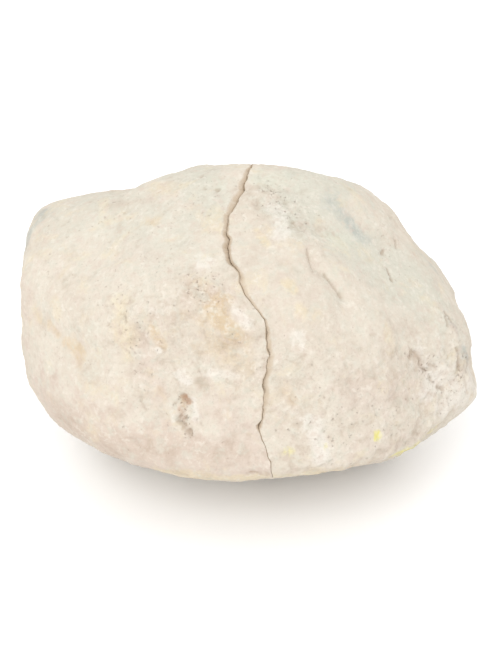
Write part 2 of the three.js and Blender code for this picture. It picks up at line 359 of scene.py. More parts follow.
# The rind's relief in millimetres: bumps less holes, on points bent by noise. Gives what the finish reads
# as well: the lumps and crumbs, the holes, the roughness and the share of pits.
def reliefAt(half, directions, surface):
    size, reach, seed = relief["warp"]
    bend = [slopeNoise(surface, size, seed + axis) for axis in (1, 2, 3)]
    points = surface + reach * np.stack(bend, -1)
    rough = roughnessAt(directions)
    pitted = pittedAt(directions)
    height, detail = bumpsAt(half, points, rough)
    holes = holesAt(half, directions, surface, points, pitted)
    return height - holes, detail, holes, rough, pitted.clip(0, 1)


# How the outline of a stain is bent: size, seed, octaves and gain of the noise, its strength, and limits.
stainEdge = {
    "noise": (5.5, 81, 4, 0.6),
    "strength": 1.1,
    "limits": (0.3, 3),
}


# Each tint's share at every vertex: the strongest of its stains' bells, with the gap's square times noise.
def tintShares(half, directions, surface):
    noise = fractalNoise(surface, *stainEdge["noise"])
    bend = (1 + stainEdge["strength"] * noise).clip(*stainEdge["limits"])
    shares = {}
    for tint in rindFinish["tints"]:
        shares[tint] = np.zeros(directions.shape[:-1])
    for tint, start, end, width, strength in half["stains"].values():
        spread = arcGap(directions, start, end) / width
        shares[tint] = np.maximum(shares[tint], strength * np.exp(-(spread**2) * bend))
    return shares


# The break runs round the stone near the middle. Its turn is 0 at the front, 90 on top and 180 at the back.
breakFace = {
    "line": (  # turn, sideways offset, how far the left and right edges are chipped back, and how deep
        (-90, 5, 0.2, 0.2, 1),
        (-45, 6.2, 0.1, 0.1, 1),
        (-20, 6, 0.1, 0.1, 1),
        (-8, 5, 0.1, 0.1, 1),
        (-3, 3.8, 0.1, 0.1, 1),
        (1, 2.5, 0.2, 0.2, 1),
        (3, 2.2, 0.9, 0.7, 1.9),
        (5, 2.8, 0.4, 0.3, 1.2),
        (10, 3.4, 0.2, 1.2, 0.35),
        (16, 3.1, 0.3, 1.5, 0.3),
        (20, 3.7, 0.3, 1.6, 0.3),
        (25, 4.5, 0.3, 1.5, 0.35),
        (30, 3.9, 0.3, 1, 1.1),
        (32, 4, 0.6, 0.9, 1.8),
        (34.5, 3.9, 0.1, 0.8, 0.7),
        (37, 2.7, 0.1, 0.6, 0.6),
        (43, -1.1, 0.3, 1, 0.5),
        (46, -1.8, 0.3, 1.6, 0.5),
        (50, -2.3, 0.5, 0.9, 0.7),
        (53, -4, 1, 0.9, 2),
        (57, -4.8, 1.3, 0.9, 2),
        (63, -4.8, 1.2, 0.7, 1.5),
        (68, -5.1, 1.1, 0.5, 1.2),
        (73, -4.6, 1.3, 0.3, 0.9),
        (77, -3.1, 2, 0.2, 0.7),
        (84, -1.2, 1.9, 0.2, 0.7),
        (90, -0.5, 1.5, 0.2, 0.8),
        (99, 0.7, 0.5, 0.3, 1),
        (118, -0.4, 0.5, 0.4, 1),
        (125, -0.8, 1, 0.9, 2.4),
        (135, -1.5, 1, 0.9, 2.4),
        (142, -2, 0.4, 0.4, 1),
        (150, -2.4, 0.5, 0.4, 1),
        (180, 2.2, 0.4, 0.6, 1),
        (215, -1.5, 0.4, 0.4, 1),
        (245, 3.2, 0.3, 0.3, 1),
        (270, 5, 0.2, 0.2, 1),
    ),
    "halfGap": 0.012,  # from the middle of the break to each half
    "noiseRadius": 40,  # of the ring along which the noise of the rim is read
    "jags": ((2.6, 0.36, 31), (1.1, 0.2, 32)),  # small sideways steps of the whole line: size, height, seed
    "nibbles": (1.8, 0.16, 2),  # size, depth and octaves of the small chips of each edge
    "swell": (3, 0.3),  # size and strength of the noise that makes the larger chips uneven
    "edgeSeeds": {-1: (51, 55), 1: (52, 56)},  # of the nibbles and the swell, for each side
    "bevel": 0.4,  # how deep a chip of depth 1 reaches, as a share of its width
    "leastChip": 0.15,  # added to every chip's width for that
    "fade": 0.5,  # the share of a chip's depth in which the rind's colour gives way to the wall's
    "waves": (15, 1.1, 7),  # of the broken face: size, height, seed
    "grain": (1.3, 0.02, 35),
    "grainDepth": 1,  # how far below the rim the grain sets in
    "offsetHold": 1.5,  # the power by which the rim's offset dies away towards the inside
    "waveHold": 4,  # the power by which the waves die away towards the rim
    "roughness": 0.8,  # of the finish, as the zones of the rind have it
}


# The direction at an angle from a half's end, and at a turn: side times cosine along X, and sine round it.
def outsideDirection(side, angle, turn):
    across = np.sin(angle)
    t = np.radians(turn)
    return np.stack([side * np.cos(angle), -across * np.cos(t), across * np.sin(t)], -1)


# The break line's offset, chips and their depth at each turn, in straight steps, with small jags on them.
def breakAt(turn):
    turns, offsets, lefts, rights, depths = np.array(breakFace["line"]).T
    wrapped = (turn - turns[0]) % 360 + turns[0]
    t = np.radians(turn)
    rim = breakFace["noiseRadius"] * np.stack([np.zeros_like(t), -np.cos(t), np.sin(t)], -1)
    offset = np.interp(wrapped, turns, offsets)
    for size, height, seed in breakFace["jags"]:
        offset = offset + height * slopeNoise(rim, size, seed)
    size, tall, octaves = breakFace["nibbles"]
    swellSize, swell = breakFace["swell"]
    chips = {}
    for side, widths in ((-1, lefts), (1, rights)):
        nibbleSeed, swellSeed = breakFace["edgeSeeds"][side]
        nibble = np.maximum(0, fractalNoise(rim, size, nibbleSeed, octaves))
        uneven = 1 + swell * slopeNoise(rim, swellSize, swellSeed)
        chips[side] = np.interp(wrapped, turns, widths) * uneven + tall * nibble
    return offset, chips, np.interp(wrapped, turns, depths)


# Where the rim is looked for, in degrees from a half's end, and how often that is halved.
rimSearch = {"from": 45, "to": 135, "halvings": 30}


# The angle from the end at which the outside meets each break edge, found by halving.
def rimAngle(side, turn, edge):
    low = np.full(turn.shape, math.radians(rimSearch["from"]))
    high = np.full(turn.shape, math.radians(rimSearch["to"]))
    for _ in range(rimSearch["halvings"]):
        angle = (low + high) / 2
        direction = outsideDirection(side, angle, turn)
        outside = side * direction[..., 0] * formRadius(direction) > edge
        low = np.where(outside, angle, low)
        high = np.where(outside, high, angle)
    return (low + high) / 2


# How fine the grid of a half is. Its meridians stand closest at one turn, which is the one in view.
grid = {
    "steps": 400,
    "outsideRings": 198,
    "breakRings": 46,
    "rimBunching": 1.7,  # above 1, the break's rings stand closer together near the rim
    "closestTurn": 35,
    "crowding": 0.35,  # by how much of the even step the meridians close up there
}

# Where the fields that the finish reads are full: in millimetres, and as the zones say for the roughness.
fieldSpans = {"depth": 5, "hollow": 0.5, "raised": 0.4, "rough": 1.3}


# The outside of a half: rings from the middle of its end to the rim, each point at the plain form's radius
# plus the relief. Gives the relief at the rim and the fields too.
def outsideSheet(half, turn, rim):
    rings = np.arange(grid["outsideRings"] + 1) / grid["outsideRings"]
    angle = rings[:, None] * rim
    directions = outsideDirection(half["side"], angle, np.broadcast_to(turn, angle.shape))
    radius = formRadius(directions)
    surface = directions * radius[..., None]
    height, detail, holes, rough, pitted = reliefAt(half, directions, surface)
    fields = {
        "broken": np.zeros(rough.shape),
        "depth": np.zeros(rough.shape),
        # the finish paints shade into the holes by this field
        "hollow": (holes / fieldSpans["hollow"]).clip(0, 1),
        # the finish paints a highlight onto the high grains and shade into the low ones by this field
        "raised": (0.5 + detail / fieldSpans["raised"]).clip(0, 1),
        "rough": rough.clip(0, fieldSpans["rough"]),
        "pitted": pitted,
        **tintShares(half, directions, surface),
    }
    return directions * cutAtFloor(directions, radius + height)[..., None], height[-1], fields


# The broken face of a half: rings from the rim to the line through the ends. A point's sideways place is
# the rim's offset times a power of its reach, plus waves that grow inwards. To that the half's side adds
# half the gap, what is left of the chip at the point's depth below the rim, and the grain.
def breakSheet(side, turn, offset, chip, chipDepth, rimReach, rimHeight):
    share = (np.arange(1, grid["breakRings"] + 1) / grid["breakRings"])[:, None]
    reach = (rimReach + rimHeight) * (1 - share ** grid["rimBunching"])
    t = np.radians(turn)
    points = np.stack([np.zeros_like(reach), -reach * np.cos(t), reach * np.sin(t)], -1)
    hold = np.minimum(1, reach / rimReach)
    size, tall, seed = breakFace["waves"]
    x = offset * hold ** breakFace["offsetHold"]
    x = x + tall * valueNoise(points, size, seed) * (1 - hold ** breakFace["waveHold"])
    below = rimReach + rimHeight - reach
    bevel = below / (breakFace["bevel"] * chipDepth * (chip + breakFace["leastChip"]))
    size, tall, seed = breakFace["grain"]
    grain = tall * (1 + fractalNoise(points, size, seed + side))
    grain = grain * (1 - np.exp(-below / breakFace["grainDepth"]))
    points[..., 0] = x + side * (breakFace["halfGap"] + chip * (1 - bevel).clip(0, 1) + grain)
    points[..., 2] = np.maximum(points[..., 2], -middle[2])
    fields = {
        "broken": smoothStep(0, breakFace["fade"], bevel),
        # the finish lightens the broken face by this field: painted light against the shade of the crack
        "depth": (below / fieldSpans["depth"]).clip(0, 1),
        "raised": 0.5,
        "rough": breakFace["roughness"],
    }
    return points, fields


# One half as a grid of meridians and rings: the rings of its outside, then those of its broken face.
def halfSurface(half):
    side = half["side"]
    even = -side * 360 * np.arange(grid["steps"]) / grid["steps"]
    turn = even - np.degrees(grid["crowding"] * np.sin(np.radians(even - grid["closestTurn"])))
    offset, chips, chipDepth = breakAt(turn)
    middleAngle = rimAngle(1, turn, offset)
    rimReach = formRadius(outsideDirection(1, middleAngle, turn)) * np.sin(middleAngle)
    rim = rimAngle(side, turn, side * offset + breakFace["halfGap"] + chips[side])
    outside, rimHeight, outsideFields = outsideSheet(half, turn, rim)
    inside, insideFields = breakSheet(side, turn, offset, chips[side], chipDepth, rimReach, rimHeight)
    blank = np.zeros(inside.shape[:-1])
    fields = {}
    for name, values in outsideFields.items():
        fields[name] = np.concatenate([values, blank + insideFields.get(name, 0)])
    return np.concatenate([outside, inside]), fields


# The faces of the grid: a fan at each pole, and quads between the rings, all turned outwards.
def gridFaces(rings, steps):
    n = np.arange(steps)
    following = (n + 1) % steps
    start = 1 + np.arange(rings - 3)[:, None] * steps
    quads = np.stack([start + n, start + steps + n, start + steps + following, start + following], -1)
    last = 1 + (rings - 2) * steps
    firstFan = np.stack([np.zeros(steps, int), 1 + n, 1 + following], -1)
    lastFan = np.stack([np.full(steps, last), last - steps + following, last - steps + n], -1)
    return quads.reshape(-1, 4).tolist() + firstFan.tolist() + lastFan.tolist()


# Puts a grid of points, with its fields as attributes, into a mesh. The poles are single vertices.
def meshFromGrid(name, points, fields):
    def flat(values):
        body = values[1:-1].reshape(-1, *values.shape[2:])
        return np.concatenate([values[0, :1], body, values[-1, :1]])

    mesh = bpy.data.meshes.new(name)
    mesh.from_pydata(((flat(points) + middle) * mm).tolist(), [], gridFaces(*points.shape[:2]))
    for field, values in fields.items():
        layer = mesh.attributes.new(field, "FLOAT", "POINT")
        layer.data.foreach_set("value", flat(values).astype(np.float32))
    mesh.shade_smooth()
    mesh.validate()
    piece = bpy.data.objects.new(name, mesh)
    bpy.context.collection.objects.link(piece)
    return piece


# The finish of both halves. Colours are linear red, green and blue, and sizes are in millimetres. A span
# has the two limits of a value, and what it becomes at each.
rindFinish = {
    "colours": {
        "cream": (0.567, 0.515, 0.436),
        "beige": (0.531, 0.471, 0.394),
        "shade": (0.387, 0.324, 0.27),
        # painted highlight, laid over the raised grains
        "grainHighlight": (0.648, 0.603, 0.529),
        # painted shade, laid into the crevices between the grains and into the holes
        "creviceShade": (0.324, 0.243, 0.176),
        "pore": (0.26, 0.185, 0.14),
        "wall": (0.455, 0.37, 0.277),  # broken stone near the rim
        # lighter than the wall: broken stone lifted by painted light against the shade of the crack
        "deepWallWithPaintedLight": (0.52, 0.4, 0.28),
        "olive": (0.508, 0.495, 0.421),
        "pink": (0.531, 0.443, 0.378),
        "yellow": (0.612, 0.526, 0.366),
        "paleGreen": (0.517, 0.522, 0.436),
        "brown": (0.423, 0.329, 0.257),
        "ochre": (0.513, 0.385, 0.232),
        "greyPurple": (0.351, 0.302, 0.279),
        "blueGrey": (0.315, 0.351, 0.333),
        "white": (0.666, 0.636, 0.585),
        "sulphur": (0.648, 0.594, 0.144),
        "rust": (0.36, 0.171, 0.081),
    },
    "tints": {  # how far each colour of the stains covers the rind, from the lowest layer to the top one
        "olive": 0.85,
        "pink": 0.8,
        "yellow": 0.7,
        "paleGreen": 0.7,
        "brown": 0.6,
        "ochre": 0.65,
        "greyPurple": 0.6,
        "blueGrey": 0.6,
        "white": 0.6,
        "sulphur": 0.85,
        "rust": 0.85,
    },
    "noises": {  # size, detail
        "broad": (15, 4),
        "warm": (8, 5),
        "mottle": (4.5, 5),
        "tone": (2.4, 5),
        "speck": (1.3, 4),
        "dot": (0.55, 3),
    },
    "ground": ("broad", (0.38, 0.62, 0, 1), "beige"),  # noise, span, colour
    "washes": (
        ("warm", (0.52, 0.68, 0, 0.4), "yellow"),
        ("tone", (0.5, 0.68, 0, 0.5), "pink"),
        ("tone", (0.5, 0.34, 0, 0.5), "olive"),
        ("mottle", (0.5, 0.72, 0, 0.2), "shade"),
    ),
    "grains": (  # noise and its span, field and its span, colour
        ("dot", (0.52, 0.7, 0, 0.4), "rough", (0, 1, 0.45, 1), "shade"),
        # painted highlight: lighter where the grains stand high
        ("speck", (0.45, 0.7, 0, 0.6), "raised", (0.4, 0.7, 0.5, 1), "grainHighlight"),
        # painted shade: darker where the grains sit low
        ("speck", (0.35, 0.6, 1, 0.4), "raised", (0.12, 0.45, 0.28, 0), "creviceShade"),
    ),
    "stainGrain": 0.9,  # how strongly specks and mottling break up the stains
    "stainLimits": (0.22, 0.85),  # the shares at which a stain begins and is full
    # painted shade in the holes and marks: where it begins and is full as the hollow field goes, and how
    # far it covers
    "hollows": (0.15, 1, 0, 0.5),
    "pores": ((1.0, 0.34, 1), (0.62, 0.36, 0.6)),  # cell, radius in cells, part of the zone's share
    "poreCore": 0.2,  # the darkest part of a pore, as a share of its radius
    "poreBend": (1.5, 1.6),  # how fine the noise is that bends the pores, and how far it reaches, in cells
    "poreCover": (0.4, 0.8),  # where pores are few, and where they are many
    "wallSpecks": (0.45, 0.65, 0, 0.4),
    "bump": {"depth": 0.3, "speck": 0.6, "dot": 0.4, "pores": 0.6, "strength": (0.2, 1.2, 0.4, 1)},
    "roughness": 0.92,
    "specular": 0.2,
}


# A new node of a kind, with its settings.
def addNode(tree, kind, **settings):
    node = tree.nodes.new(kind)
    for key, value in settings.items():
        setattr(node, key, value)
    return node


# Links another node's output to a socket, or sets the socket to a colour or a number.
def setSocket(tree, socket, value):
    if isinstance(value, bpy.types.NodeSocket):
        tree.links.new(value, socket)
    elif isinstance(value, tuple):
        socket.default_value = (*value, 1)
    else:
        socket.default_value = value


# Noise of a size in millimetres, from 0 to 1.
def noiseNode(tree, coordinates, size, detail):
    node = addNode(tree, "ShaderNodeTexNoise")
    values = {
        "Vector": coordinates,
        "Scale": 1 / (size * mm),
        "Detail": detail,
        "Roughness": 0.65,
        "Distortion": 0.4,
    }
    for key, value in values.items():
        setSocket(tree, node.inputs[key], value)
    return node.outputs["Fac"]


# A field of the mesh, as the vertices hold it.
def fieldNode(tree, name):
    return addNode(tree, "ShaderNodeAttribute", attribute_name=name).outputs["Fac"]


# Arithmetic on two or three values.
def mathNode(tree, operation, *values):
    node = addNode(tree, "ShaderNodeMath", operation=operation)
    for socket, value in zip(node.inputs, values):
        setSocket(tree, socket, value)
    return node.outputs[0]


# Maps a value from low to high smoothly onto first to last, and holds it there beyond.
def rangeNode(tree, value, low, high, first, last):
    node = addNode(tree, "ShaderNodeMapRange", interpolation_type="SMOOTHSTEP")
    for socket, number in zip(node.inputs, (value, low, high, first, last)):
        setSocket(tree, socket, number)
    return node.outputs["Result"]


# The first colour, with the second over it by the factor.
def mixNode(tree, factor, first, second):
    node = addNode(tree, "ShaderNodeMix", data_type="RGBA")
    for index, value in ((0, factor), (6, first), (7, second)):
        setSocket(tree, node.inputs[index], value)
    return node.outputs[2]


# A colour, with one of the finish over it by the factor.
def layOver(tree, colour, factor, name):
    return mixNode(tree, factor, colour, rindFinish["colours"][name])


# Dark pores: dots round the random points of a lattice, kept where a random number is under the zone's
# share. Noise bends them out of round. Gives the dots' darkness.
def poreNode(tree, coordinates, cell, radius, share):
    fineness, reach = rindFinish["poreBend"]
    bend = addNode(tree, "ShaderNodeTexNoise")
    setSocket(tree, bend.inputs["Vector"], coordinates)
    setSocket(tree, bend.inputs["Scale"], fineness / (cell * mm))
    place = addNode(tree, "ShaderNodeVectorMath", operation="MULTIPLY_ADD")
    place.inputs[1].default_value = (reach * cell * mm,) * 3
    tree.links.new(bend.outputs["Color"], place.inputs[0])
    tree.links.new(coordinates, place.inputs[2])
    node = addNode(tree, "ShaderNodeTexVoronoi")
    setSocket(tree, node.inputs["Vector"], place.outputs[0])
    setSocket(tree, node.inputs["Scale"], 1 / (cell * mm))
    number = addNode(tree, "ShaderNodeSeparateColor")
    tree.links.new(node.outputs["Color"], number.inputs[0])
    kept = mathNode(tree, "LESS_THAN", number.outputs[0], share)
    dot = rangeNode(tree, node.outputs["Distance"], radius * rindFinish["poreCore"], radius, 1, 0)
    return mathNode(tree, "MULTIPLY", kept, dot)


# The large and the fine pores together: the darker of the two at every point.
def allPores(tree, coordinates):
    dots = []
    for cell, radius, part in rindFinish["pores"]:
        share = mathNode(tree, "MULTIPLY", fieldNode(tree, "pitted"), part)
        dots.append(poreNode(tree, coordinates, cell, radius, share))
    return mathNode(tree, "MAXIMUM", *dots)


# Chalky rind: cream and beige ground, the stains with grainy edges, thin washes of colour, and then a
# painted highlight on the raised crumbs and painted shade in the crevices between them, each as strong as a
# noise times a field, and painted shade in the hollows.
def rindColour(tree, noises):
    def wash(colour, noise, span, name):
        return layOver(tree, colour, rangeNode(tree, noises[noise], *span), name)

    colour = wash(rindFinish["colours"]["cream"], *rindFinish["ground"])
    grain = rindFinish["stainGrain"]
    broken = mathNode(tree, "MULTIPLY_ADD", noises["mottle"], grain, -grain)
    broken = mathNode(tree, "MULTIPLY_ADD", noises["speck"], grain, broken)
    for tint, cover in rindFinish["tints"].items():
        share = mathNode(tree, "ADD", fieldNode(tree, tint), broken)
        colour = layOver(tree, colour, rangeNode(tree, share, *rindFinish["stainLimits"], 0, cover), tint)
    for noise, span, name in rindFinish["washes"]:
        colour = wash(colour, noise, span, name)
    for noise, span, field, fieldSpan, name in rindFinish["grains"]:
        strength = rangeNode(tree, noises[noise], *span)
        held = rangeNode(tree, fieldNode(tree, field), *fieldSpan)
        colour = layOver(tree, colour, mathNode(tree, "MULTIPLY", strength, held), name)
    # painted shade in the holes and marks, as deep as they are
    hollow = rangeNode(tree, fieldNode(tree, "hollow"), *rindFinish["hollows"])
    return layOver(tree, colour, hollow, "creviceShade")


# Broken stone: from the tan of the rim to a lighter tan deeper down, where painted light lifts the shade of
# the crack, with beige specks.
def wallColour(tree, noises):
    wall = layOver(tree, rindFinish["colours"]["wall"], fieldNode(tree, "depth"), "deepWallWithPaintedLight")
    return layOver(tree, wall, rangeNode(tree, noises["speck"], *rindFinish["wallSpecks"]), "beige")


# The finest grain, as a bump: specks and dots, less the pores, as strong as the rind is rough.
def grainBump(tree, noises, pores):
    bump = rindFinish["bump"]
    grain = mathNode(tree, "MULTIPLY", noises["dot"], bump["dot"])
    grain = mathNode(tree, "MULTIPLY_ADD", noises["speck"], bump["speck"], grain)
    grain = mathNode(tree, "SUBTRACT", grain, mathNode(tree, "MULTIPLY", pores, bump["pores"]))
    node = addNode(tree, "ShaderNodeBump")
    node.inputs["Distance"].default_value = bump["depth"] * mm
    tree.links.new(rangeNode(tree, fieldNode(tree, "rough"), *bump["strength"]), node.inputs["Strength"])
    tree.links.new(grain, node.inputs["Height"])
    return node.outputs["Normal"]


# The rind's colour with its pores, inside the break the broken stone's colour lightened deeper in by
# painted light, and the bump over both.
def rindMaterial(name):
    material = bpy.data.materials.new(name)
    material.use_nodes = True
    tree = material.node_tree
    shader = tree.nodes["Principled BSDF"]
    coordinates = addNode(tree, "ShaderNodeTexCoord").outputs["Object"]
    noises = {}
    for kind, (size, detail) in rindFinish["noises"].items():
        noises[kind] = noiseNode(tree, coordinates, size, detail)
    pores = allPores(tree, coordinates)
    cover = rangeNode(tree, fieldNode(tree, "pitted"), 0, 1, *rindFinish["poreCover"])
    colour = layOver(tree, rindColour(tree, noises), mathNode(tree, "MULTIPLY", pores, cover), "pore")
    colour = mixNode(tree, fieldNode(tree, "broken"), colour, wallColour(tree, noises))
    tree.links.new(colour, shader.inputs["Base Color"])
    tree.links.new(grainBump(tree, noises, pores), shader.inputs["Normal"])
    shader.inputs["Roughness"].default_value = rindFinish["roughness"]
    shader.inputs["Specular IOR Level"].default_value = rindFinish["specular"]
    return material


# What each half has of its own. Marks are fine hollows, and all places are bearings and tilts.
leftHalf = {
    "name": "leftHalf",
    "node": "left_half",
    "slot": "left_rind",
    "side": -1,
    "marks": {  # from, to, width in degrees, depth
        "edge of the flaked patch": ((-38.5, 20), (-35, 12), 0.8, 0.22),
        "crease under the pocket": ((-22, 1), (-15, -2), 0.9, 0.22),
        "deep end of the pocket": ((-19.8, 9.8), (-18.8, 8.4), 1.2, 0.5),
        "pocket, pit": ((-20.9, 3.7), (-20.4, 4), 0.55, 0.7),
        "pocket, second pit": ((-18.9, 3.9), (-18.7, 3.3), 0.5, 0.65),
        "pocket, third pit": ((-20.8, 2.2), (-19.3, 1.2), 0.55, 0.7),
        "pocket, fourth pit": ((-17.6, -0.2), (-16.9, -1), 0.6, 0.7),
        "pocket, fifth pit": ((-22.3, 8.2), (-22.6, 7.4), 0.5, 0.35),
        "pocket, sixth pit": ((-20, 6.2), (-19.6, 5.4), 0.45, 0.35),
        "crease left of the pocket": ((-32.2, 8.2), (-30.2, 4.6), 0.6, 0.35),
        "crease of the cheek": ((-41.6, 15.1), (-43.2, 9.5), 0.7, 0.2),
        "bottom edge, pit": ((0.5, -11.6), (2.2, -11.5), 0.5, 0.4),
        "bottom edge, second pit": ((4.2, -11.2), (5, -11), 0.4, 0.35),
        "pit, top": ((-76.8, 75.2), (-78, 75), 0.8, 0.4),
        "pit, top right": ((-65.5, 78.8), (-62, 78.5), 0.9, 0.5),
        "pit, upper": ((-110, 74), (-102, 74), 0.8, 0.4),
        "pit by the cheek": ((-45.6, 25.2), (-45.6, 25.2), 0.6, 0.4),
        "pit by the cheek, second": ((-41, 29), (-40, 28), 0.5, 0.4),
        "pit by the cheek, third": ((-43, 29.5), (-43, 29.5), 0.5, 0.4),
        "pit of the patch": ((-5.1, 30), (-4, 29), 0.9, 0.3),
        "hollow of the patch": ((-16, 15.5), (-13, 15), 1.8, 0.3),
        "hollow of the plateau": ((-98, 47), (-84, 50), 2.2, 0.2),
    },
    "stains": {  # kind, from, to, width in degrees, strength
        "plateau": ("olive", (-100, 38), (-50, 55), 20, 0.6),
        "left edge": ("blueGrey", (-101, 27), (-95, 21), 2.8, 1.0),
        "left edge, faint": ("blueGrey", (-102, 36), (-99, 30), 2.6, 0.4),
        "trough": ("ochre", (-73.5, 14.5), (-71.1, 13.4), 2.6, 0.55),
        "trough, middle": ("ochre", (-66.3, 14.5), (-62.8, 13.8), 2.4, 0.65),
        "trough, right": ("ochre", (-58.3, 13.6), (-53.4, 13.7), 2.6, 0.75),
        "trough, shade": ("brown", (-61.7, 13.5), (-53.6, 14.2), 3.4, 0.3),
        "cheek": ("ochre", (-47, 5.1), (-44.4, 5.6), 2.4, 0.3),
        "pale cheek": ("paleGreen", (-50.5, 22.3), (-47.3, 11.2), 4.5, 0.5),
        "cream cheek": ("yellow", (-44, 30), (-38, 24), 4.0, 0.65),
        "cream cheek, lower": ("yellow", (-40, 22), (-38, 18), 3.0, 0.6),
        "patch, top": ("brown", (-20.2, 42.8), (-14, 41.5), 5.0, 1.0),
        "patch, strongest": ("ochre", (-12, 38), (-6, 32), 4.0, 1.05),
        "patch, left": ("ochre", (-31, 29), (-28, 25), 2.6, 0.75),
        "patch, right": ("ochre", (-4.4, 33.8), (-0.3, 26.9), 4.0, 0.55),
        "patch, lower right": ("ochre", (-11.9, 26.3), (-2.8, 23.3), 3.4, 0.5),
        "patch, middle": ("ochre", (-14, 34), (-5, 22), 8.0, 0.5),
        "patch, brown": ("brown", (-8, 33), (-3.6, 29), 3.4, 0.6),
        "patch, upper left": ("brown", (-29, 34), (-18, 38), 7.0, 0.5),
        "patch, lower left": ("pink", (-34, 24), (-27, 10), 6.0, 0.7),
        "above the pocket": ("brown", (-15.5, 16), (-13, 14), 2.6, 0.65),
        "right of the pocket": ("pink", (-9, 8), (-6, 2), 7.0, 0.75),
        "below the pocket": ("pink", (-24, -8), (0, -8), 9.0, 1.25),
        "below the pocket, shade": ("brown", (-24, -5), (-4, -6), 7.0, 0.6),
        "pocket, lower": ("brown", (-20.6, 4), (-17.6, 0), 2.1, 0.7),
        "pocket, brown": ("rust", (-20.8, 6.5), (-19.2, 2), 1.5, 0.5),
        "pocket": ("rust", (-20, 10), (-18.7, 8.2), 1.5, 0.8),
        "pocket, ochre": ("ochre", (-20.6, 9.4), (-19.8, 7), 1.3, 0.7),
        "pocket rim, right": ("white", (-17, 10), (-16.2, 3), 1.3, 0.9),
        "pocket rim, left": ("white", (-23, 5.5), (-22, 2), 0.9, 0.8),
        "left of the pocket": ("ochre", (-27, 12), (-25, 8.3), 1.6, 0.5),
        "left of the pocket, spot": ("brown", (-28.2, 10.6), (-27, 9.8), 1.3, 0.5),
        "crease by the pocket": ("greyPurple", (-32, 8), (-30.6, 5.2), 1.0, 0.4),
        "under the pocket": ("brown", (-22.4, -1.6), (-22, -2.4), 1.5, 0.6),
        "lower left, spot": ("brown", (-38.8, 3.1), (-35.7, 1.1), 2.6, 0.55),
        "lower left, marks": ("greyPurple", (-32.6, -2.9), (-29.7, -5.3), 1.6, 0.35),
        "cheek, marks": ("greyPurple", (-43.7, 7.6), (-42.1, 6.8), 1.2, 0.35),
        "pocket rim, top": ("white", (-22, 17.2), (-19, 15.4), 2.2, 0.9),
        "crystal": ("white", (-28.7, 23.3), (-28.7, 23.3), 1.3, 1.3),
        "crystals, top": ("white", (-22, 50.5), (-19, 51), 2.4, 0.85),
        "crystals by the break": ("white", (-4, 37.5), (-1, 35), 2.6, 0.9),
        "crystals, middle": ("white", (-12, 19), (-5, 19), 2.4, 0.7),
        "crystals, upper left": ("white", (-33, 34), (-26, 40), 2.6, 0.5),
        "plateau, streaks": ("brown", (-91.8, 44.5), (-85.4, 57.5), 2.0, 0.5),
        "plateau, second streaks": ("brown", (-93.3, 31.7), (-89.7, 37.4), 1.8, 0.35),
        "plateau, middle": ("pink", (-62, 42), (-50, 48), 6.0, 0.45),
        "plateau, spot": ("ochre", (-67.4, 54.2), (-64, 55.5), 2.4, 0.6),
        "by the break": ("yellow", (-19, 64.5), (-12, 63), 2.6, 0.8),
        "top, green": ("paleGreen", (-95, 78), (-70, 80), 3.0, 0.7),
        "top": ("olive", (-120, 68), (-50, 74), 12, 0.8),
        "lower left": ("pink", (-64, -10), (-28, -8), 11, 1.25),
        "lower left, shade": ("brown", (-60, -7), (-30, -7), 10, 0.65),
        "left end": ("pink", (-80, 16), (-76, 4), 6, 0.6),
        "below the cheek": ("pink", (-47, 3), (-36, 2), 4, 0.6),
        "bottom edge": ("yellow", (-26, -14), (4, -15), 3.0, 1.0),
        "bottom edge, marks": ("brown", (-0.5, -11.7), (5, -11.2), 0.9, 1.0),
        "back": ("yellow", (-170, 20), (-150, 40), 18, 0.45),
        "back, low": ("pink", (-150, -20), (-130, -10), 14, 0.6),
        "back, spot": ("ochre", (-140, 15), (-128, 8), 5, 0.6),
        "back, grey": ("paleGreen", (-150, 55), (-130, 48), 9, 0.6),
    },
}

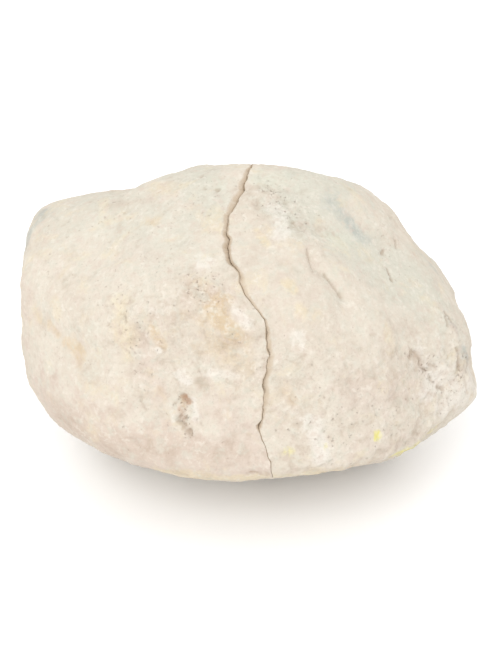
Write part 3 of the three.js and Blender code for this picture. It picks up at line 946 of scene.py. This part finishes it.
rightHalf = {
    "name": "rightHalf",
    "node": "right_half",
    "slot": "right_rind",
    "side": 1,
    "marks": {
        "diagonal groove, top": ((31.5, 54.5), (29.2, 47.5), 0.55, 0.4),
        "diagonal groove, middle": ((31, 47.5), (33.5, 44.5), 0.5, 0.25),
        "diagonal groove, bottom": ((34.3, 45.2), (36.3, 37.2), 0.6, 0.45),
        "pit right of the groove": ((40.3, 24.2), (42.4, 23.6), 0.5, 0.3),
        "slit": ((68, 34.7), (65.5, 31.6), 0.55, 0.55),
        "pit above the slit": ((73.6, 38.8), (75.4, 38.6), 0.8, 0.5),
        "slit, upper": ((85.7, 36.4), (81.4, 35.4), 0.5, 0.4),
        "hollow, first": ((53, 11.8), (54.5, 13), 0.7, 0.5),
        "hollow, first, right": ((55.4, 12.3), (56.1, 9.6), 0.6, 0.45),
        "hollow, second": ((55.8, 8.6), (56.8, 6), 0.6, 0.45),
        "hollow, second, right": ((57.2, 5.6), (58, 5.1), 0.6, 0.4),
        "hollow, third": ((58.8, 6.7), (60.2, 5.3), 0.7, 0.45),
        "hollow, fourth": ((58, 3.6), (58.4, 1.4), 0.6, 0.4),
        "hollow, fifth": ((59.4, -0.6), (61.4, -1.9), 0.6, 0.45),
        "right end, upper pits": ((72.7, 15), (72, 12.2), 0.6, 0.4),
        "right end, second pits": ((71, 14), (69.4, 12.6), 0.5, 0.4),
        "right end, slit": ((67.9, 6.7), (67, 1.2), 0.6, 0.5),
        "right end, lower slit": ((67.1, -1), (67.3, -5.2), 0.5, 0.35),
        "top, hollow": ((49.6, 77.1), (42.2, 69.4), 1.2, 0.25),
        "top, pit": ((36.2, 65.6), (37, 64.4), 0.8, 0.4),
        "lower pit": ((48, -8), (49.5, -9), 0.9, 0.4),
        "lower pit, left": ((44, -5), (44, -5), 0.9, 0.35),
        "edge under the smooth face": ((30, 14), (38, 10), 1.6, 0.2),
    },
    "stains": {
        "slope": ("olive", (58, 52), (74, 26), 15, 0.9),
        "slope, upper": ("olive", (50, 68), (110, 62), 15, 1.0),
        "slope, right": ("olive", (92, 35), (84, 18), 9, 0.3),
        "slope, back edge": ("blueGrey", (92, 29), (91, 18), 2, 0.6),
        "blue-grey stain": ("blueGrey", (79, 62), (73, 49), 4.4, 0.7),
        "blue-grey stain, middle": ("blueGrey", (75, 54), (74, 51), 2.6, 1.0),
        "top, green": ("paleGreen", (70, 86), (100, 77), 6, 0.85),
        "top, grey": ("blueGrey", (95, 79), (103, 75), 2.6, 0.4),
        "slope, green": ("paleGreen", (55, 55), (62, 50), 5, 0.8),
        "by the break": ("yellow", (6, 66), (11, 60), 2.4, 0.85),
        "by the break, left": ("yellow", (14, 68), (16, 63), 1.8, 0.5),
        "face, spot": ("yellow", (16.8, 44.7), (17.5, 43), 2.0, 1.05),
        "face, lower spot": ("yellow", (17.9, 38), (18, 36), 2.0, 0.7),
        "face": ("pink", (12, 54), (12, 32), 8, 0.3),
        "face, white": ("white", (20, 62), (28, 68), 4.5, 0.75),
        "top, crystals": ("white", (28.1, 75.3), (35.8, 69.7), 3.4, 0.6),
        "top, streaks": ("greyPurple", (127.1, 83.1), (95.1, 76), 1.8, 0.35),
        "top, dots": ("greyPurple", (53.7, 79), (40.6, 68.8), 1.4, 0.35),
        "lower right": ("pink", (30, 12), (52, 4), 9, 0.6),
        "row of pits": ("greyPurple", (53.4, 12), (56, 8.5), 1.4, 0.35),
        "row of pits, lower": ("greyPurple", (57, 6), (61, -2), 2.2, 0.4),
        "above the row": ("brown", (49.6, 17), (49.2, 16), 1.5, 0.5),
        "right end": ("greyPurple", (72.6, 15), (67.5, 1), 1.5, 0.5),
        "right end, pale": ("white", (58, 1), (72, -8), 9, 0.75),
        "right end, green": ("blueGrey", (69.4, 5.4), (70.8, 1.4), 2.0, 0.95),
        "tan spot": ("ochre", (11, 14), (12.5, 11.5), 2.6, 0.5),
        "tan spot, lower": ("brown", (10, 12), (14, 10), 3.0, 0.45),
        "whitish patch": ("white", (17, 5), (20, -4), 3.6, 0.95),
        "whitish patch, upper": ("white", (16, 30), (17, 26), 2.0, 0.75),
        "lower edge, pink": ("pink", (25, -4), (45, -8), 8, 0.5),
        "sulphur spot": ("sulphur", (34.6, -3.1), (34.6, -3.1), 1.2, 1.3),
        "sulphur spot, faint": ("sulphur", (20.7, -2.5), (20.7, -2.5), 1.1, 0.55),
        "sulphur spot, left": ("sulphur", (11.3, -3.4), (12, -4), 1.7, 0.5),
        "sulphur edge": ("sulphur", (43, -13), (49, -14), 1.8, 0.75),
        "sulphur edge, right": ("sulphur", (53, -12), (57, -11), 1.6, 0.55),
        "bottom edge": ("yellow", (3, -14), (24, -13), 3.4, 1.0),
        "bottom edge, ochre": ("ochre", (24, -10), (34, -12), 2.6, 0.5),
        "back": ("yellow", (170, 15), (150, 35), 18, 0.45),
        "back, low": ("pink", (140, -15), (120, -20), 12, 0.6),
        "back, stain": ("blueGrey", (150, 20), (140, 12), 5, 0.55),
        "right back": ("olive", (120, 20), (105, -5), 14, 0.6),
    },
}


# One half as a mesh with its finish, in the place of its CAD node.
def buildHalf(half):
    points, fields = halfSurface(half)
    piece = meshFromGrid(half["name"], points, fields)
    piece.data.materials.append(rindMaterial(half["slot"]))
    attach(piece, "root")
    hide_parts(half["node"])
    print(half["name"], "built with", len(piece.data.polygons), "faces")


# Sizes and places in metres.
studio = {
    "floorSize": 6.0,
    "floorColour": (0.92, 0.92, 0.92),
    "floorRoughness": 0.95,
    "floorSpecular": 0.1,
    "skyColour": (1.0, 1.0, 1.0),
    "skyStrength": 1.34,
    "lamps": {
        "key": {"place": (-0.35, -1.0, 1.0), "size": 0.8, "power": 6.5},
    },
}


# The floor's plain, dull finish.
def floorMaterial():
    material = bpy.data.materials.new("paleFloor")
    material.use_nodes = True
    shader = material.node_tree.nodes["Principled BSDF"]
    shader.inputs["Base Color"].default_value = (*studio["floorColour"], 1)
    shader.inputs["Roughness"].default_value = studio["floorRoughness"]
    shader.inputs["Specular IOR Level"].default_value = studio["floorSpecular"]
    return material


# One square under the stone.
def buildFloor():
    half = studio["floorSize"] / 2
    corners = [(-half, -half, 0), (half, -half, 0), (half, half, 0), (-half, half, 0)]
    mesh = bpy.data.meshes.new("floor")
    mesh.from_pydata(corners, [], [(0, 1, 2, 3)])
    floor = bpy.data.objects.new("floor", mesh)
    bpy.context.collection.objects.link(floor)
    mesh.materials.append(floorMaterial())


# Places an object and turns it so that it looks at a point, with its own Y up.
def turnTowards(piece, place, target):
    piece.location = place
    piece.rotation_euler = Vector(target - np.array(place)).to_track_quat("-Z", "Y").to_euler()


# An even white sky, and one soft square lamp at the upper left of the front, turned to the stone.
def buildLight():
    world = bpy.data.worlds.new("studio")
    bpy.context.scene.world = world
    world.use_nodes = True
    sky = world.node_tree.nodes["Background"]
    sky.inputs["Color"].default_value = (*studio["skyColour"], 1)
    sky.inputs["Strength"].default_value = studio["skyStrength"]
    for name, lamp in studio["lamps"].items():
        data = bpy.data.lights.new(name, "AREA")
        data.size = lamp["size"]
        data.energy = lamp["power"]
        piece = bpy.data.objects.new(name, data)
        bpy.context.collection.objects.link(piece)
        turnTowards(piece, lamp["place"], middle * mm)
    bpy.context.scene.view_settings.view_transform = "Standard"


# Millimetres, and degrees for the elevation.
camera = {
    "elevation": 35,
    "distance": 620,
    "lens": 142,
    "nudge": (0.24, -0.24),  # how far the aim is right of and above the stone's middle
}


# The camera stands back from the stone's middle along the photo's line of sight.
def buildCamera():
    tilt = math.radians(camera["elevation"])
    back = np.array((0, -math.cos(tilt), math.sin(tilt)))
    up = np.array((0, math.sin(tilt), math.cos(tilt)))
    aim = middle + np.array((camera["nudge"][0], 0, 0)) + up * camera["nudge"][1]
    data = bpy.data.cameras.new("camera")
    data.lens = camera["lens"]
    piece = bpy.data.objects.new("camera", data)
    bpy.context.collection.objects.link(piece)
    turnTowards(piece, (aim + back * camera["distance"]) * mm, aim * mm)
    bpy.context.scene.camera = piece


buildHalf(leftHalf)
buildHalf(rightHalf)
buildFloor()
buildLight()
buildCamera()
print("floor, light and camera in place")
